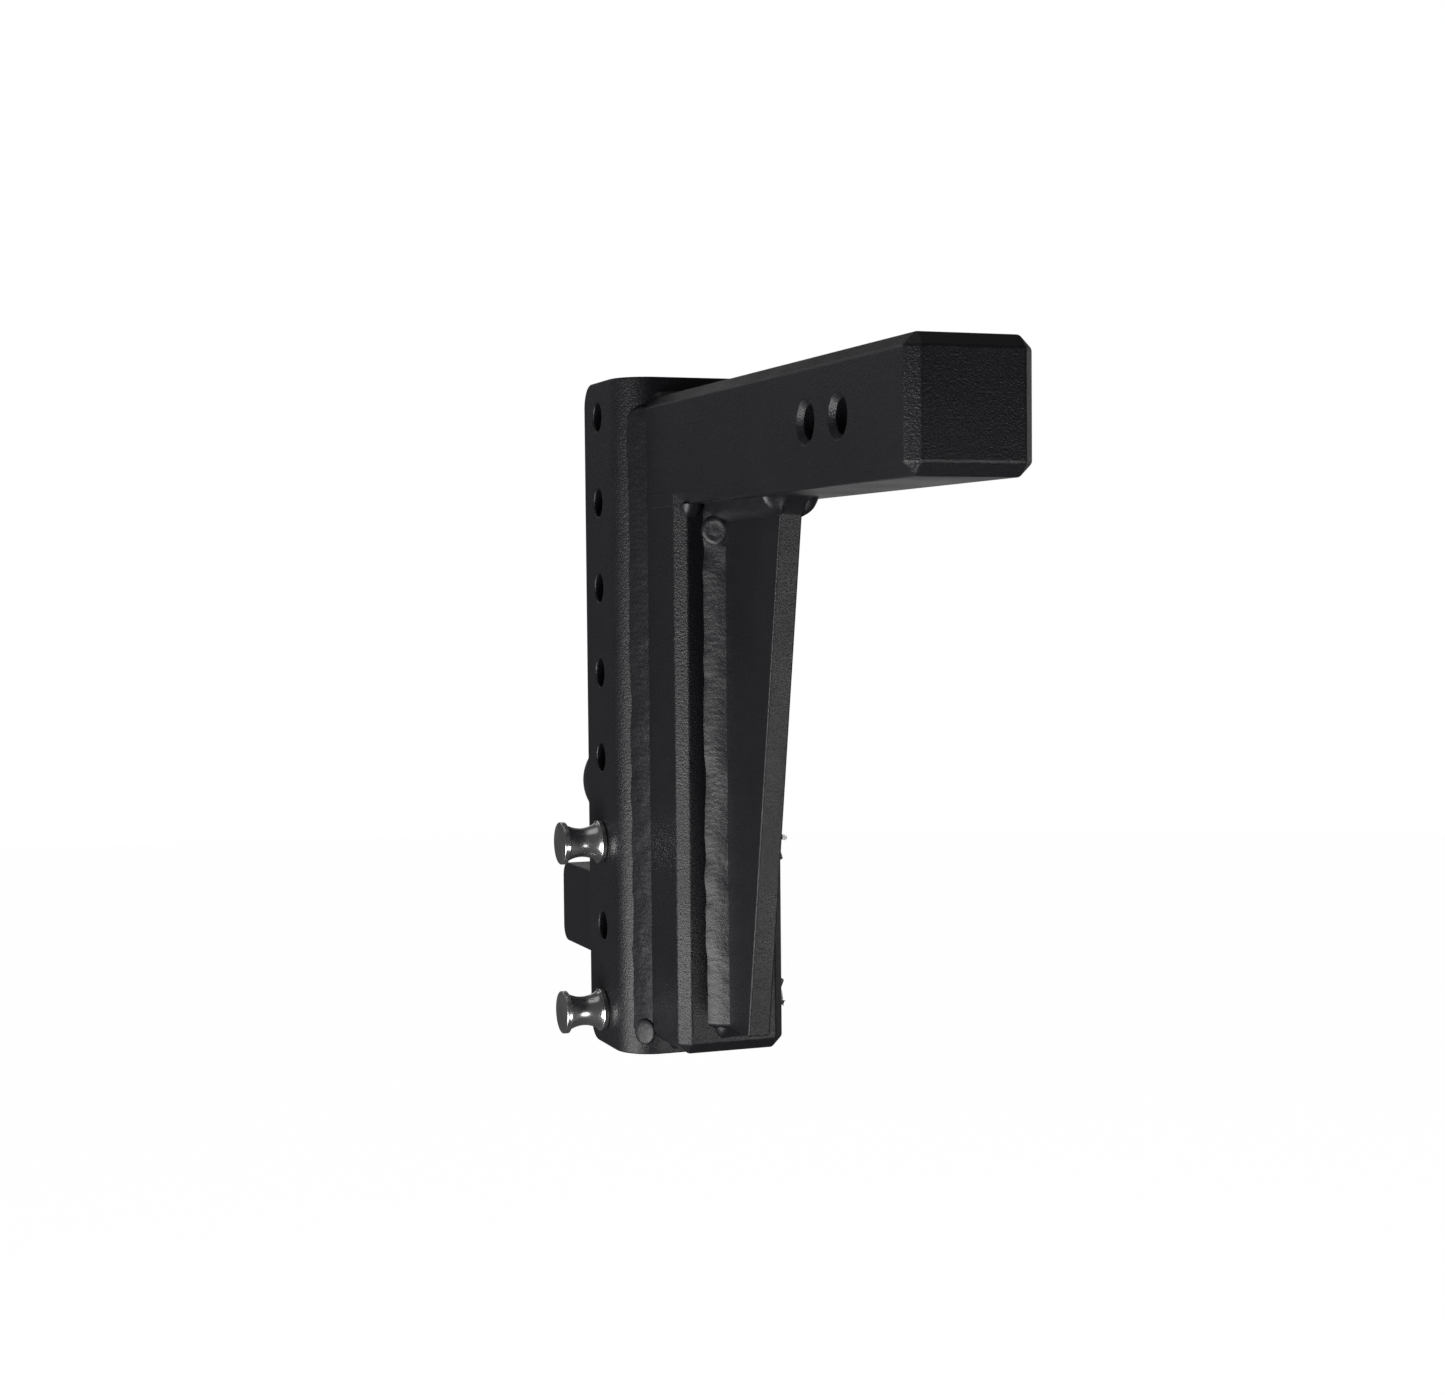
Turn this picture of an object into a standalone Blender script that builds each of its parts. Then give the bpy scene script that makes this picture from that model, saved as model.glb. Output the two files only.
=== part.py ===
"""Adjustable drop hitch with a dual-ball mount, one solid for each piece of steel.

Frame: metres, +Z up, +Y from the tow vehicle towards the trailer, +X to the right when
looking along +Y. The origin is the centre of the shank's end face, the end that slides into
the vehicle's receiver. Touching pieces keep GAP between them.
"""
import math

import bmesh
import bpy

MM = 0.001
GAP = 0.3 * MM

# Shank: solid square bar with chamfered edges and two cross holes for the receiver pin.
SHANK_WIDTH = 63.5 * MM
SHANK_LENGTH = 363.5 * MM
BAR_CHAMFER = 6.35 * MM
CROSS_HOLE_DISTANCES = (78.5 * MM, 117.5 * MM)
CROSS_HOLE_RADIUS = 8.6 * MM
CROSS_HOLE_SINK = 2.8 * MM

# Channel: C section, open to the rear, with a row of pin holes through both side walls.
CHANNEL_WIDTH = 88.9 * MM
CHANNEL_DEPTH = 71.0 * MM
CHANNEL_WALL = 12.7 * MM
CHANNEL_BEND = 22.0 * MM
CHANNEL_CORNER = 14.0 * MM
CHANNEL_ABOVE_SHANK = 12.7 * MM
HOLE_COUNT = 8
HOLE_PITCH = 50.8 * MM
HOLE_MARGIN = 20.65 * MM
HOLE_SETBACK = 25.4 * MM
HOLE_RADIUS = 8.35 * MM
HOLE_BREAK = 0.8 * MM
CHANNEL_EASE = 0.8 * MM
PINNED_HOLES = (5, 7)

# Riser bar below the shank, and the tapered gusset plate in front of it.
RISER_DEPTH = 59.4 * MM
RISER_ABOVE_CHANNEL_END = 10.0 * MM
GUSSET_THICKNESS = 12.7 * MM
GUSSET_REACH_TOP = 92.4 * MM
GUSSET_REACH_BOTTOM = 38.2 * MM
GUSSET_ABOVE_RISER_END = 16.0 * MM
GUSSET_EASE = 0.6 * MM

# Weld beads.
GUSSET_BEAD = 10.2 * MM
END_BEAD = 8.0 * MM
RISER_END_BEAD = 5.7 * MM
FRONT_BEAD_REACH = 18.0 * MM
FRONT_BEAD_DROP = 8.8 * MM
CHANNEL_BEAD_WIDTH = 6.25 * MM
CHANNEL_BEAD_REACH = 10.0 * MM
CHANNEL_BEAD_START = 4.75 * MM
RISER_BEAD_PAST_FLAT = 2.5 * MM
TOP_BEAD_SETBACK = 6.0 * MM
BEAD_SETBACK = 1.0 * MM
BEAD_GAP = 0.9 * MM
BEAD_BULGE = 0.22
BEAD_STATIONS = 6

# Ball mount: a block between the channel's walls and a platform behind it.
MOUNT_SIDE_CLEARANCE = 0.35 * MM
MOUNT_FRONT_CLEARANCE = 1.2 * MM
MOUNT_BLOCK_REACH = 16.0 * MM
MOUNT_BEHIND_CHANNEL = 1.5 * MM
PLATFORM_THICKNESS = 50.8 * MM
PLATFORM_END = 170.0 * MM
PLATFORM_CORNER = 9.5 * MM
BALL_SETBACK = 126.5 * MM
STUD_RADIUS = 12.7 * MM
STUD_CLEARANCE = 0.4 * MM
WASHER_RADIUS = 23.0 * MM
WASHER_THICKNESS = 5.0 * MM
UPPER_BALL_RADIUS = 29.37 * MM
UPPER_BALL_HEIGHT = 55.4 * MM
UPPER_BALL_NECK = 17.5 * MM
UPPER_BALL_BASE = 9.0 * MM
UPPER_BALL_RIM = 24.5 * MM
BALL_FLAT_ANGLE = 74
LOWER_BALL_RADIUS = 25.4 * MM
LOWER_BALL_DEPTH = 39.0 * MM
LOWER_BALL_NECK = 17.0 * MM
LOWER_BALL_BASE = 7.0 * MM
LOWER_BALL_RIM = 23.5 * MM
LOWER_BALL_FLAT_ANGLE = 72
STUD_IN_LOWER_BALL = 24.0 * MM

# Spool-headed pins and their spring clips.
PIN_RADIUS = 7.94 * MM
KNOB_RADIUS = 12.7 * MM
KNOB_WAIST = 8.0 * MM
KNOB_LENGTH = 26.0 * MM
KNOB_RIM = 2.4 * MM
PIN_PAST_WALL = 25.5 * MM
CLIP_PAST_WALL = 19.0 * MM
CLIP_WIRE = 1.6 * MM
CLIP_HOLE_RADIUS = 2.1 * MM
CLIP_LOOP = 6.5 * MM
CLIP_LOOP_BEHIND = 25.0 * MM
CLIP_LOOP_LIFT = 4.0 * MM
CLIP_TIP_AHEAD = 27.0 * MM
CLIP_LEG_STEP = 4.5 * MM

# Derived places.
HALF_SHANK = SHANK_WIDTH / 2
WEB = SHANK_LENGTH
CHANNEL_TOP = HALF_SHANK + CHANNEL_ABOVE_SHANK
CHANNEL_BOTTOM = CHANNEL_TOP - 2 * HOLE_MARGIN - HOLE_PITCH * (HOLE_COUNT - 1)
HOLE_Y = WEB + CHANNEL_DEPTH - HOLE_SETBACK
HOLE_HEIGHTS = [CHANNEL_TOP - HOLE_MARGIN - HOLE_PITCH * i for i in range(HOLE_COUNT)]
PIN_HEIGHTS = [HOLE_HEIGHTS[i] for i in PINNED_HOLES]
RISER_FRONT = WEB - RISER_DEPTH
RISER_BOTTOM = CHANNEL_BOTTOM + RISER_ABOVE_CHANNEL_END
GUSSET_BOTTOM = RISER_BOTTOM + GUSSET_ABOVE_RISER_END
PLATFORM_MIDDLE = sum(PIN_HEIGHTS) / 2
PLATFORM_TOP = PLATFORM_MIDDLE + PLATFORM_THICKNESS / 2
PLATFORM_BOTTOM = PLATFORM_MIDDLE - PLATFORM_THICKNESS / 2
MOUNT_HALF_WIDTH = CHANNEL_WIDTH / 2 - CHANNEL_WALL - MOUNT_SIDE_CLEARANCE
MOUNT_REAR = WEB + CHANNEL_DEPTH + MOUNT_BEHIND_CHANNEL
BALL_Y = WEB + BALL_SETBACK
CLIP_X = CHANNEL_WIDTH / 2 + CLIP_PAST_WALL


def clear_scene():
    for item in list(bpy.data.objects):
        bpy.data.objects.remove(item, do_unlink=True)


def make_material(name, colour, roughness, metallic):
    material = bpy.data.materials.new(name)
    material.use_nodes = True
    shader = material.node_tree.nodes["Principled BSDF"]
    shader.inputs["Base Color"].default_value = (*colour, 1.0)
    shader.inputs["Roughness"].default_value = roughness
    shader.inputs["Metallic"].default_value = metallic
    return material


def add_object(name, bm, material, smooth=False):
    """Turn a bmesh into a named object with its faces pointing out."""
    bmesh.ops.recalc_face_normals(bm, faces=bm.faces)
    mesh = bpy.data.meshes.new(name)
    bm.to_mesh(mesh)
    bm.free()
    mesh.materials.append(material)
    if smooth:
        mesh.shade_smooth()
        mesh.set_sharp_from_angle(angle=math.radians(35))
    item = bpy.data.objects.new(name, mesh)
    bpy.context.scene.collection.objects.link(item)
    return item


def oriented(axis, along, across):
    """Place a 2D point and a distance along an axis: X takes (y, z), Y (x, z), Z (x, y)."""
    first, second = across
    return {
        "X": (along, first, second),
        "Y": (first, along, second),
        "Z": (first, second, along),
    }[axis]


def loft(bm, loops):
    """Join closed loops of points into one capped solid."""
    rings = [[bm.verts.new(point) for point in loop] for loop in loops]
    for near, far in zip(rings, rings[1:]):
        count = len(near)
        for i in range(count):
            j = (i + 1) % count
            bm.faces.new((near[i], near[j], far[j], far[i]))
    bm.faces.new(list(reversed(rings[0])))
    bm.faces.new(rings[-1])


def prism(outline, axis, low, high):
    bm = bmesh.new()
    loft(bm, [[oriented(axis, place, point) for point in outline] for place in (low, high)])
    return bm


def block(low, high):
    corners = [(low[0], low[1]), (high[0], low[1]), (high[0], high[1]), (low[0], high[1])]
    return prism(corners, "Z", low[2], high[2])


def turned(profile, axis, centre, sides, closed=False):
    """Revolve (along, radius) points about an axis; a radius of zero closes an end."""
    bm = bmesh.new()
    rings = []
    for along, radius in profile:
        count = sides if radius > 0 else 1
        angles = [2 * math.pi * i / sides for i in range(count)]
        points = [(centre[0] + radius * math.cos(a), centre[1] + radius * math.sin(a))
                  for a in angles]
        rings.append([bm.verts.new(oriented(axis, along, point)) for point in points])
    pairs = list(zip(rings, rings[1:]))
    if closed:
        pairs.append((rings[-1], rings[0]))
    for near, far in pairs:
        for i in range(sides):
            j = (i + 1) % sides
            corners = [near[i % len(near)], near[j % len(near)],
                       far[j % len(far)], far[i % len(far)]]
            bm.faces.new(list(dict.fromkeys(corners)))
    return bm


def arc(centre, radius, start, end, steps):
    """Points on an arc, angles in degrees."""
    angles = [math.radians(start + (end - start) * i / steps) for i in range(steps + 1)]
    return [(centre[0] + radius * math.cos(a), centre[1] + radius * math.sin(a)) for a in angles]


def chamfer_edges(bm, chosen, width, segments=1):
    edges = [edge for edge in bm.edges if chosen(*[vert.co for vert in edge.verts])]
    bmesh.ops.bevel(bm, geom=edges, offset=width, segments=segments, profile=0.5,
                    affect="EDGES", clamp_overlap=True)


def along_axis(a, b, index):
    """True where two points differ only along one axis."""
    return all(abs(a[k] - b[k]) < 1e-6 for k in range(3) if k != index)


def ease_edges(item, width):
    """A small break on every sharp edge of a plate or block."""
    modifier = item.modifiers.new("edge_break", "BEVEL")
    modifier.width = width
    modifier.segments = 1
    modifier.limit_method = "ANGLE"
    modifier.angle_limit = math.radians(50)


def cut(item, cutter_bm, name):
    cutter_mesh = bpy.data.meshes.new(name)
    bmesh.ops.recalc_face_normals(cutter_bm, faces=cutter_bm.faces)
    cutter_bm.to_mesh(cutter_mesh)
    cutter_bm.free()
    cutter = bpy.data.objects.new(name, cutter_mesh)
    bpy.context.scene.collection.objects.link(cutter)
    cutter.hide_render = True
    cutter.display_type = "WIRE"
    modifier = item.modifiers.new(name, "BOOLEAN")
    modifier.operation = "DIFFERENCE"
    modifier.solver = "EXACT"
    modifier.object = cutter


def merge(parts):
    """Gather several separate closed shapes into one bmesh, for a cutter."""
    whole = bmesh.new()
    for part in parts:
        mesh = bpy.data.meshes.new("part")
        part.to_mesh(mesh)
        part.free()
        whole.from_mesh(mesh)
        bpy.data.meshes.remove(mesh)
    return whole


def cross_hole(radius, sink, half_width, y, z, sides=24):
    """Cutter along X: a plain hole that flares by sink at both outer faces."""
    past = 1.0 * MM
    profile = [(-half_width - past, 0), (-half_width - past, radius + sink + past),
               (-half_width + sink, radius), (half_width - sink, radius),
               (half_width + past, radius + sink + past), (half_width + past, 0)]
    return turned(profile, "X", (y, z), sides)


def build_shank(steel):
    bm = block((-HALF_SHANK, 0, -HALF_SHANK), (HALF_SHANK, WEB - GAP, HALF_SHANK))
    chamfer_edges(bm, lambda a, b: along_axis(a, b, 1) or max(a.y, b.y) < 1e-6, BAR_CHAMFER)
    shank = add_object("shank", bm, steel)
    holes = [cross_hole(CROSS_HOLE_RADIUS, CROSS_HOLE_SINK, HALF_SHANK, y, 0, 32)
             for y in CROSS_HOLE_DISTANCES]
    cut(shank, merge(holes), "shank_cutter")


def channel_outline():
    """C section seen from above, the web to the front and the walls to the rear."""
    half = CHANNEL_WIDTH / 2
    inner = half - CHANNEL_WALL
    rear = WEB + CHANNEL_DEPTH
    inner_bend = CHANNEL_BEND - CHANNEL_WALL
    outer_y = WEB + CHANNEL_BEND
    left, right = -half + CHANNEL_BEND, half - CHANNEL_BEND
    points = arc((left, outer_y), CHANNEL_BEND, 180, 270, 8)
    points += arc((right, outer_y), CHANNEL_BEND, 270, 360, 8)
    points += [(half, rear), (inner, rear)]
    points += arc((right, outer_y), inner_bend, 360, 270, 5)
    points += arc((left, outer_y), inner_bend, 270, 180, 5)
    points += [(-inner, rear), (-half, rear)]
    return points


def build_channel(steel):
    bm = prism(channel_outline(), "Z", CHANNEL_BOTTOM, CHANNEL_TOP)
    rear = WEB + CHANNEL_DEPTH

    def wall_corner(a, b):
        return along_axis(a, b, 0) and abs(a.y - rear) < 1e-6

    chamfer_edges(bm, wall_corner, CHANNEL_CORNER, segments=7)
    channel = add_object("channel", bm, steel, smooth=True)
    ease_edges(channel, CHANNEL_EASE)
    holes = [cross_hole(HOLE_RADIUS, HOLE_BREAK, CHANNEL_WIDTH / 2, HOLE_Y, z)
             for z in HOLE_HEIGHTS]
    cut(channel, merge(holes), "channel_cutter")


def build_riser(steel):
    low = (-HALF_SHANK, RISER_FRONT, RISER_BOTTOM)
    high = (HALF_SHANK, WEB - GAP, -HALF_SHANK - GAP)
    bm = block(low, high)

    def chosen(a, b):
        front_upright = along_axis(a, b, 2) and abs(a.y - RISER_FRONT) < 1e-6
        lower_end = max(a.z, b.z) < RISER_BOTTOM + 1e-6
        return front_upright or lower_end

    chamfer_edges(bm, chosen, BAR_CHAMFER)
    add_object("riser_bar", bm, steel)


def build_gusset(steel):
    back = RISER_FRONT - GAP
    top = -HALF_SHANK - GAP
    outline = [(back, top), (back, GUSSET_BOTTOM), (back - GUSSET_REACH_BOTTOM, GUSSET_BOTTOM),
               (back - GUSSET_REACH_TOP, top)]
    bm = prism(outline, "X", -GUSSET_THICKNESS / 2, GUSSET_THICKNESS / 2)
    gusset = add_object("gusset_plate", bm, steel)
    ease_edges(gusset, GUSSET_EASE)


def fillet_section(leg_a, leg_b):
    """Weld section in its corner: legs along two faces, joined by a bulging face."""
    face = [(leg_a * (1 - t), leg_b * t) for t in (0.2, 0.4, 0.6, 0.8)]
    swell = [math.sin(math.pi * t) * BEAD_BULGE for t in (0.2, 0.4, 0.6, 0.8)]
    raised = [(a + leg_b * s, b + leg_a * s) for (a, b), s in zip(face, swell)]
    return [(0, 0), (leg_a, 0)] + raised + [(0, leg_b)]


def add_bead(name, steel, corner, sides, start, end, axis, legs):
    """Straight fillet bead. sides are the signs in which the two legs leave the corner."""
    section = fillet_section(*legs)
    loops = []
    for i in range(BEAD_STATIONS + 1):
        share = i / BEAD_STATIONS
        size = 0.72 if i in (0, BEAD_STATIONS) else 1.0
        place = start + (end - start) * share
        points = [(corner[0] + sides[0] * (GAP + a * size), corner[1] + sides[1] * (GAP + b * size))
                  for a, b in section]
        loops.append([oriented(axis, place, point) for point in points])
    bm = bmesh.new()
    loft(bm, loops)
    add_object(name, bm, steel, smooth=True)


def build_channel_bead(name, steel, side):
    """Bead between the channel's bend and the flank of the shank and riser bar."""
    bend_centre = CHANNEL_WIDTH / 2 - CHANNEL_BEND
    toe_x = HALF_SHANK + CHANNEL_BEAD_WIDTH
    toe_y = WEB - CHANNEL_BEAD_REACH
    flank = HALF_SHANK + GAP

    def bend_y(x):
        drop = math.sqrt((CHANNEL_BEND + GAP) ** 2 - (x - bend_centre) ** 2)
        return WEB + CHANNEL_BEND - drop

    base = [flank + (toe_x - flank) * t for t in (0, 0.25, 0.5, 0.75, 1)]
    section = [(x, bend_y(x)) for x in base]
    crown = [(0.90, 0.05), (0.62, 0.45), (0.30, 0.80)]
    section += [(HALF_SHANK + CHANNEL_BEAD_WIDTH * out, WEB - CHANNEL_BEAD_REACH * ahead)
                for out, ahead in crown]
    section += [(flank, toe_y)]
    high = HALF_SHANK - CHANNEL_BEAD_START
    low = RISER_BOTTOM + BEAD_SETBACK
    outline = [(side * x, y) for x, y in section]
    add_object(name, prism(outline, "Z", low, high), steel, smooth=True)


def build_welds(steel):
    build_channel_bead("channel_weld_left", steel, -1)
    build_channel_bead("channel_weld_right", steel, 1)
    flat = HALF_SHANK - BAR_CHAMFER
    add_bead("shank_top_weld", steel, (WEB, HALF_SHANK), (-1, 1), -flat, flat, "X",
             (END_BEAD, END_BEAD))
    add_bead("riser_bottom_weld", steel, (WEB, RISER_BOTTOM), (-1, -1), -flat + END_BEAD,
             flat - END_BEAD, "X", (RISER_END_BEAD, END_BEAD))
    plate = GUSSET_THICKNESS / 2
    legs = (GUSSET_BEAD, GUSSET_BEAD)
    under = -HALF_SHANK
    outer = plate + GUSSET_BEAD + BEAD_GAP
    front_top = RISER_FRONT - GUSSET_REACH_TOP
    for side, word in ((-1, "left"), (1, "right")):
        add_bead("gusset_side_weld_" + word, steel, (side * plate, RISER_FRONT), (side, -1),
                 GUSSET_BOTTOM + BEAD_SETBACK, under - GUSSET_BEAD - BEAD_GAP, "Z", legs)
        add_bead("gusset_top_weld_" + word, steel, (side * plate, under), (side, -1),
                 front_top + TOP_BEAD_SETBACK, RISER_FRONT - GAP, "Y", legs)
        add_bead("riser_top_weld_" + word, steel, (RISER_FRONT, under), (-1, -1),
                 side * outer, side * (flat + RISER_BEAD_PAST_FLAT), "X",
                 (END_BEAD, END_BEAD))
    add_bead("gusset_front_weld", steel, (front_top - GAP, under), (-1, -1), -plate, plate, "X",
             (FRONT_BEAD_REACH, FRONT_BEAD_DROP))
    add_bead("gusset_bottom_weld", steel, (RISER_FRONT, GUSSET_BOTTOM), (-1, -1), -plate, plate,
             "X", (END_BEAD, END_BEAD))


def build_ball_mount(steel):
    front = WEB + CHANNEL_WALL + MOUNT_FRONT_CLEARANCE
    low = PIN_HEIGHTS[1] - MOUNT_BLOCK_REACH
    high = PIN_HEIGHTS[0] + MOUNT_BLOCK_REACH
    bm = block((-MOUNT_HALF_WIDTH, front, low), (MOUNT_HALF_WIDTH, MOUNT_REAR - GAP, high))

    def upright_front(a, b):
        return along_axis(a, b, 2) and abs(a.y - front) < 1e-6

    chamfer_edges(bm, upright_front, CHANNEL_BEND - CHANNEL_WALL, segments=5)
    mount = add_object("ball_mount_block", bm, steel)
    bores = [cross_hole(HOLE_RADIUS, HOLE_BREAK, MOUNT_HALF_WIDTH, HOLE_Y, z)
             for z in PIN_HEIGHTS]
    cut(mount, merge(bores), "mount_cutter")

    end = WEB + PLATFORM_END
    corner = PLATFORM_CORNER
    outline = [(MOUNT_REAR, PLATFORM_BOTTOM)]
    outline += arc((end - corner, PLATFORM_BOTTOM + corner), corner, 270, 360, 6)
    outline += arc((end - corner, PLATFORM_TOP - corner), corner, 0, 90, 6)
    outline += [(MOUNT_REAR, PLATFORM_TOP)]
    bm = prism(outline, "X", -HALF_SHANK, HALF_SHANK)
    platform = add_object("ball_platform", bm, steel, smooth=True)
    ease_edges(platform, 1.2 * MM)
    radius = STUD_RADIUS + STUD_CLEARANCE
    past = 2 * MM
    stud_hole = turned([(PLATFORM_BOTTOM - past, 0), (PLATFORM_BOTTOM - past, radius),
                        (PLATFORM_TOP + past, radius), (PLATFORM_TOP + past, 0)],
                       "Z", (0, BALL_Y), 32)
    cut(platform, stud_hole, "platform_cutter")

    width = MOUNT_HALF_WIDTH - 1 * MM
    for name, height, sign in (("platform_weld_top", PLATFORM_TOP, 1),
                               ("platform_weld_bottom", PLATFORM_BOTTOM, -1)):
        add_bead(name, steel, (MOUNT_REAR, height), (1, sign), -width, width, "X",
                 (END_BEAD, END_BEAD))


def ball_arc(centre, radius, low_angle, high_angle, steps):
    """(along, radius) points of a ball between two latitudes in degrees."""
    angles = [math.radians(low_angle + (high_angle - low_angle) * i / steps)
              for i in range(steps + 1)]
    return [(centre + radius * math.sin(a), radius * math.cos(a)) for a in angles]


def build_washer(name, steel, low):
    inner = STUD_RADIUS + STUD_CLEARANCE
    high = low + WASHER_THICKNESS
    profile = [(low, inner), (low, WASHER_RADIUS), (high, WASHER_RADIUS), (high, inner)]
    add_object(name, turned(profile, "Z", (0, BALL_Y), 32, closed=True), steel, smooth=True)


def build_balls(steel, washer_steel):
    """The upper ball's stud runs down through the platform into the lower ball's threads."""
    washer_up = PLATFORM_TOP + GAP
    washer_down = PLATFORM_BOTTOM - GAP - WASHER_THICKNESS
    build_washer("upper_lock_washer", washer_steel, washer_up)
    build_washer("lower_lock_washer", washer_steel, washer_down)

    neck = UPPER_BALL_NECK
    centre = PLATFORM_TOP + UPPER_BALL_HEIGHT
    seat = washer_up + WASHER_THICKNESS + GAP
    base = seat + UPPER_BALL_BASE
    rim = UPPER_BALL_RIM
    stud_end = washer_down - STUD_IN_LOWER_BALL
    low = -math.degrees(math.acos(neck / UPPER_BALL_RADIUS))
    profile = [(stud_end, 0), (stud_end, STUD_RADIUS - 1.5 * MM),
               (stud_end + 1.5 * MM, STUD_RADIUS), (seat, STUD_RADIUS), (seat, rim),
               (base - 1 * MM, rim), (base, rim - 1 * MM), (base, neck + 3 * MM),
               (base + 1 * MM, neck + 1 * MM), (base + 3 * MM, neck)]
    profile += ball_arc(centre, UPPER_BALL_RADIUS, low, BALL_FLAT_ANGLE, 16)
    profile += [(profile[-1][0], 0)]
    add_object("upper_ball", turned(profile, "Z", (0, BALL_Y), 40), steel, smooth=True)

    neck = LOWER_BALL_NECK
    centre = PLATFORM_BOTTOM - LOWER_BALL_DEPTH
    seat = washer_down - GAP
    base = seat - LOWER_BALL_BASE
    rim = LOWER_BALL_RIM
    bore = STUD_RADIUS + STUD_CLEARANCE
    high = math.degrees(math.acos(neck / LOWER_BALL_RADIUS))
    profile = ball_arc(centre, LOWER_BALL_RADIUS, -LOWER_BALL_FLAT_ANGLE, high, 14)
    profile = [(profile[0][0], 0)] + profile
    profile += [(base - 1 * MM, neck + 0.6 * MM), (base, neck + 3 * MM), (base, rim - 1 * MM),
                (base + 1 * MM, rim), (seat, rim), (seat, bore),
                (stud_end - 2 * MM, bore), (stud_end - 6 * MM, 0)]
    add_object("lower_ball", turned(profile, "Z", (0, BALL_Y), 40), steel, smooth=True)


def build_pin(name, steel, z):
    """Spool head on the left, a plain shaft through both walls, a clip hole on the right."""
    wall = -CHANNEL_WIDTH / 2 - GAP
    head = wall - KNOB_LENGTH
    tip = CHANNEL_WIDTH / 2 + PIN_PAST_WALL
    rim_in, rim_out = wall - KNOB_RIM, head + KNOB_RIM
    steps = 8
    waist = []
    for i in range(1, steps):
        t = i / steps
        depth = math.sin(math.pi * t) ** 0.7
        waist.append((rim_out + (rim_in - rim_out) * t,
                      KNOB_RADIUS - (KNOB_RADIUS - KNOB_WAIST) * depth))
    edge = 0.6 * MM
    profile = [(head, 0), (head, KNOB_RADIUS - edge), (head + edge, KNOB_RADIUS),
               (rim_out, KNOB_RADIUS)] + waist
    profile += [(rim_in, KNOB_RADIUS), (wall, KNOB_RADIUS), (wall, PIN_RADIUS),
                (tip - 2 * MM, PIN_RADIUS), (tip, PIN_RADIUS - 2 * MM), (tip, 0)]
    pin = add_object(name, turned(profile, "X", (HOLE_Y, z), 32), steel, smooth=True)
    reach = PIN_RADIUS + 2 * MM
    hole = turned([(HOLE_Y - reach, 0), (HOLE_Y - reach, CLIP_HOLE_RADIUS),
                   (HOLE_Y + reach, CLIP_HOLE_RADIUS), (HOLE_Y + reach, 0)],
                  "Y", (CLIP_X, z), 16)
    cut(pin, hole, name + "_cutter")


def clip_outline():
    """R-shaped wire beside a pin at (0, 0): (rearward, upward) points.

    A straight leg runs back through the pin, a round loop lies behind it, and a waved leg
    comes forward over the pin and turns up at its end.
    """
    lift = PIN_RADIUS + CLIP_WIRE + 3 * GAP
    leg = [(CLIP_LEG_STEP * i - CLIP_TIP_AHEAD, 0) for i in range(10)]
    loop = arc((CLIP_LOOP_BEHIND, CLIP_LOOP_LIFT), CLIP_LOOP, 232, 490, 14)
    dip = [(11.5 * MM, 6.6 * MM), (7.5 * MM, 0.90 * lift)]
    behind = [(15.5 * MM, 7.2 * MM)] + dip
    ahead = [(-y, z) for y, z in reversed(dip)] + [(-15.5 * MM, 9 * MM), (-19.5 * MM, 13.5 * MM)]
    return leg + loop + behind + [(0, lift)] + ahead


def build_clip(name, steel, z, side):
    """side is +1 with the waved leg above the pin, -1 with it below."""
    curve = bpy.data.curves.new(name, "CURVE")
    curve.dimensions = "3D"
    curve.bevel_depth = CLIP_WIRE
    curve.bevel_resolution = 2
    curve.use_fill_caps = True
    spline = curve.splines.new("POLY")
    route = clip_outline()
    spline.points.add(len(route) - 1)
    for point, (rearward, upward) in zip(spline.points, route):
        point.co = (CLIP_X, HOLE_Y + rearward, z + side * upward, 1.0)
    curve.materials.append(steel)
    bpy.context.scene.collection.objects.link(bpy.data.objects.new(name, curve))


def main():
    clear_scene()
    coated = make_material("powder_coated_steel", (0.030, 0.028, 0.031), 0.55, 0.0)
    ball_black = make_material("black_ball_steel", (0.025, 0.025, 0.027), 0.35, 0.0)
    stainless = make_material("stainless_steel", (0.62, 0.62, 0.60), 0.28, 1.0)
    spring = make_material("plated_spring_wire", (0.55, 0.55, 0.56), 0.30, 1.0)
    zinc = make_material("plated_washer_steel", (0.45, 0.45, 0.46), 0.40, 1.0)
    build_channel(coated)
    build_shank(coated)
    build_riser(coated)
    build_gusset(coated)
    build_welds(coated)
    build_ball_mount(coated)
    build_balls(ball_black, zinc)
    for word, z, side in zip(("upper", "lower"), PIN_HEIGHTS, (-1, 1)):
        build_pin(word + "_pin", stainless, z)
        build_clip(word + "_clip", spring, z, side)


main()
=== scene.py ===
"""Looks of the adjustable drop hitch: rounded steel pieces, rippled weld beads, turned pins,
spring clips and balls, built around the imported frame. Metres, in the frame's own axes."""

import math

import bmesh
import bpy
from mathutils import Matrix, Vector, noise


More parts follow.
